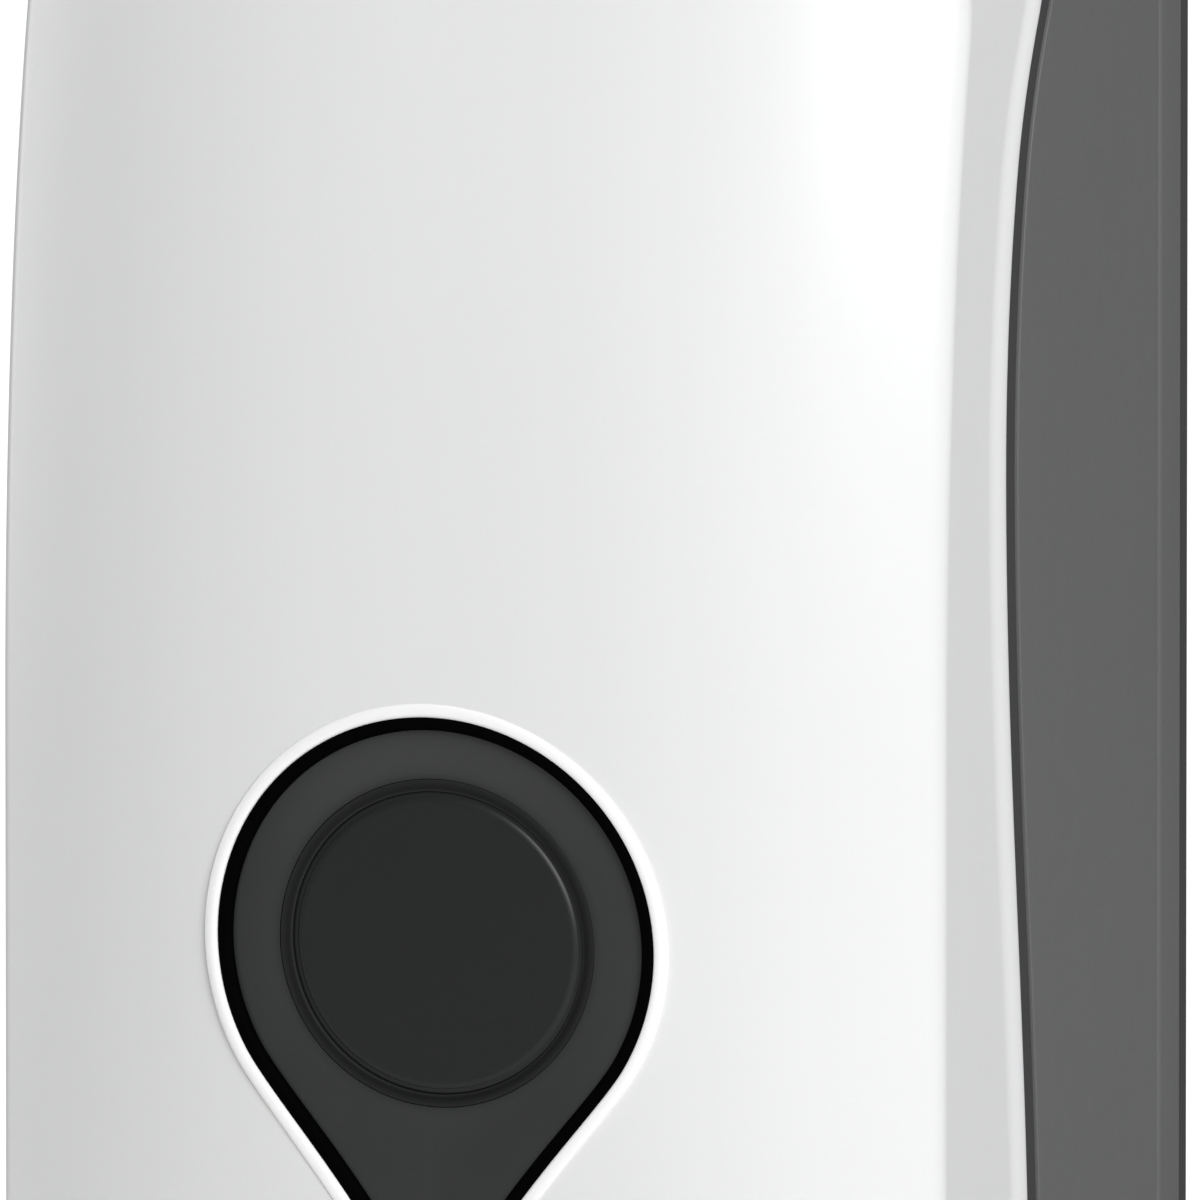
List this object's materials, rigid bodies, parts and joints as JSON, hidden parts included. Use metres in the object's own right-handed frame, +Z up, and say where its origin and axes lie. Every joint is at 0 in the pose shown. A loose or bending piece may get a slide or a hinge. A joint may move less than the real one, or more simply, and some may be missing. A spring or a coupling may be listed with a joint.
{
  "type": "video doorbell",
  "caption": "Wall-mounted battery video doorbell: crowned front shell with a drop-shaped camera window, call button, slide-out battery and wall plate.",
  "frame": {"origin": "centre of the wall plate's back face, in the wall plane", "axes": "+X right seen from the front, +Y into the wall (the front faces -Y), +Z up"},
  "size_m": [0.052, 0.0456, 0.142],
  "materials": {
    "white_shell": "satin gloss white",
    "dark_housing": "fine matte dark grey",
    "dark_window": "smooth dark tint",
    "black_plastic": "satin black",
    "black_rubber": "matte black",
    "lens_glass": "coated dark glass",
    "circuit_board": "green solder mask",
    "plated_steel": "plated",
    "inner_frame": "matte dark",
    "frosted_light": "frosted translucent",
    "cell_wrap": "shrink wrap",
    "gold_contacts": "plated"
  },
  "bodies": {
    "wall_bracket": {"wall_plate": "dark_housing"},
    "unit": {"rear_housing": "dark_housing", "front_shell": "white_shell", "housing_seal": "black_rubber", "chassis": "inner_frame", "housing_screw_1": "plated_steel", "housing_screw_2": "plated_steel", "housing_screw_3": "plated_steel", "housing_screw_4": "plated_steel", "window_bezel": "white_shell", "window_gasket": "black_rubber", "camera_window": "dark_window", "lens_ring": "black_plastic", "lens_cover": "lens_glass", "lens_barrel": "black_plastic", "lens_front": "lens_glass", "lens_rear": "lens_glass", "lens_mount": "inner_frame", "filter_housing": "inner_frame", "image_sensor": "lens_glass", "camera_board": "circuit_board", "flex_cable": "gold_contacts", "ir_board": "circuit_board", "ir_light_1": "frosted_light", "ir_light_2": "frosted_light", "light_sensor": "black_plastic", "light_ring": "frosted_light", "button_frame": "inner_frame", "button_light_board": "circuit_board", "button_dome": "black_rubber", "button_switch": "inner_frame", "pir_lens": "frosted_light", "pir_sensor": "plated_steel", "microphone": "plated_steel", "speaker_frame": "inner_frame", "speaker_cone": "black_rubber", "main_board": "circuit_board", "processor_shield": "plated_steel", "radio_module": "plated_steel", "antenna": "gold_contacts", "battery_connector": "inner_frame", "terminal_board": "circuit_board", "terminal_screw_1": "plated_steel", "terminal_screw_2": "plated_steel", "reset_switch": "inner_frame", "tamper_switch": "inner_frame", "tamper_spring": "plated_steel"},
    "call_button": {"button_cap": "white_shell"},
    "reset_button_body": {"reset_button": "frosted_light"},
    "tamper_plunger_body": {"tamper_plunger": "frosted_light"},
    "infrared_filter": {"ir_cut_filter": "lens_glass"},
    "battery_pack": {"battery_case": "inner_frame", "battery_cap": "dark_housing", "usb_socket": "plated_steel", "battery_cell_1": "cell_wrap", "battery_cell_2": "cell_wrap", "latch_spring": "plated_steel"},
    "battery_latch": {"latch_button": "inner_frame"},
    "usb_cover": {"usb_flap": "black_rubber"}
  },
  "joints": [
    {"name": "unit_lift", "type": "slide", "parent": "wall_bracket", "child": "unit", "axis": [0, 0, 1], "range_m": [0, 0.005]},
    {"name": "call_button_press", "type": "slide", "parent": "unit", "child": "call_button", "axis": [0, 1, 0], "range_m": [0, 0.0008], "stiffness_N_per_m": 1500, "springref_m": -0.0004, "deforming": ["button_dome"]},
    {"name": "reset_press", "type": "slide", "parent": "unit", "child": "reset_button_body", "axis": [0, -1, 0], "range_m": [0, 0.0005], "stiffness_N_per_m": 1500, "springref_m": -0.0003},
    {"name": "tamper_press", "type": "slide", "parent": "unit", "child": "tamper_plunger_body", "axis": [0, -1, 0], "range_m": [0, 0.0012], "stiffness_N_per_m": 300, "springref_m": -0.001, "deforming": ["tamper_spring"]},
    {"name": "infrared_filter_slide", "type": "slide", "parent": "unit", "child": "infrared_filter", "axis": [1, 0, 0], "range_m": [0, 0.006]},
    {"name": "battery_slide", "type": "slide", "parent": "unit", "child": "battery_pack", "axis": [0, 0, -1], "range_m": [0, 0.08]},
    {"name": "battery_latch_slide", "type": "slide", "parent": "battery_pack", "child": "battery_latch", "axis": [-1, 0, 0], "range_m": [0, 0.0015], "stiffness_N_per_m": 800, "springref_m": -0.0008, "deforming": ["latch_spring"]},
    {"name": "usb_cover_hinge", "type": "hinge", "parent": "battery_pack", "child": "usb_cover", "pos_m": [-0.0069, -0.0142, -0.0709], "axis": [0, 1, 0], "range_deg": [0, 100]}
  ]
}
